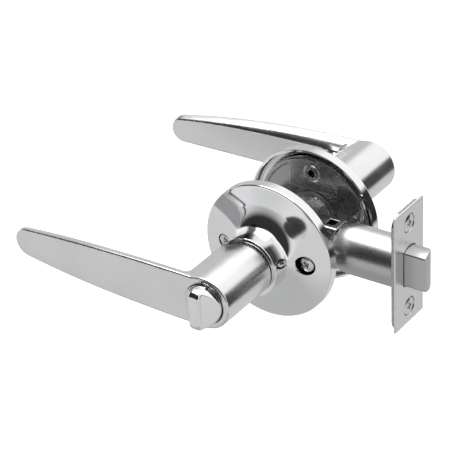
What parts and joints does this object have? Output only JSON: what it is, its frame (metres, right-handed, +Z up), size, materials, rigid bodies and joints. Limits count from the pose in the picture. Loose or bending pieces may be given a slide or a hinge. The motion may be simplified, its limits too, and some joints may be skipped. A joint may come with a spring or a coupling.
{
  "type": "door lever handle",
  "caption": "Tubular privacy lever set for an interior door: two swept levers on round roses, a turn button and a sprung bevelled latch with its faceplate.",
  "frame": {"origin": "where the spindle's axis crosses the latch's centre line, in the middle of the door", "axes": "+X towards the door's edge and the latch bolt, +Y along the spindle towards the rear lever, +Z up; both levers point to -X"},
  "size_m": [0.1787, 0.1505, 0.065],
  "materials": {
    "chrome": "polished chrome plate",
    "satin_chrome": "satin chrome plate, fine grain along the lever",
    "satin_steel": "satin steel, brushed round the tube and along the bolt",
    "plate_steel": "satin steel, brushed along the faceplate",
    "bright_steel": "bright zinc-plated steel",
    "pressed_plate": "zinc-plated pressed steel",
    "spring_steel": "drawn spring wire",
    "nylon": "moulded nylon"
  },
  "bodies": {
    "mounting": {"front_rose": "chrome", "rear_rose": "chrome", "front_collar": "chrome", "rear_collar": "chrome", "front_bush": "nylon", "rear_bush": "nylon", "front_plate": "pressed_plate", "rear_plate": "pressed_plate", "through_screws": "bright_steel", "threaded_posts": "bright_steel", "latch_case": "pressed_plate", "latch_tube": "satin_steel", "spring_seat": "pressed_plate", "bolt_spring": "spring_steel", "faceplate": "plate_steel", "backplate": "pressed_plate", "faceplate_screws": "bright_steel"},
    "levers": {"front_lever": "satin_chrome", "rear_lever": "satin_chrome", "spindle": "bright_steel", "latch_cam": "pressed_plate", "front_clip": "spring_steel", "rear_clip": "spring_steel", "front_spring": "spring_steel", "rear_spring": "spring_steel"},
    "bolt": {"latch_bolt": "satin_steel", "bolt_tail": "pressed_plate"},
    "button": {"turn_button": "chrome", "turn_shaft": "bright_steel"}
  },
  "joints": [
    {"name": "lever_turn", "type": "hinge", "parent": "mounting", "child": "levers", "pos_m": [0, 0, 0], "axis": [0, -1, 0], "range_deg": [0, 55], "stiffness_Nm_per_rad": 0.7, "springref_deg": -40.11},
    {"name": "bolt_slide", "type": "slide", "parent": "mounting", "child": "bolt", "axis": [-1, 0, 0], "range_m": [0, 0.0102], "stiffness_N_per_m": 120, "springref_m": -0.02, "deforming": ["bolt_spring"]},
    {"name": "button_turn", "type": "hinge", "parent": "levers", "child": "button", "pos_m": [0, -0.072, 0], "axis": [0, -1, 0], "range_deg": [0, 90]}
  ],
  "couplings": [
    {"joint": "bolt_slide", "follows": "lever_turn", "m_per_rad": 0.010625}
  ]
}
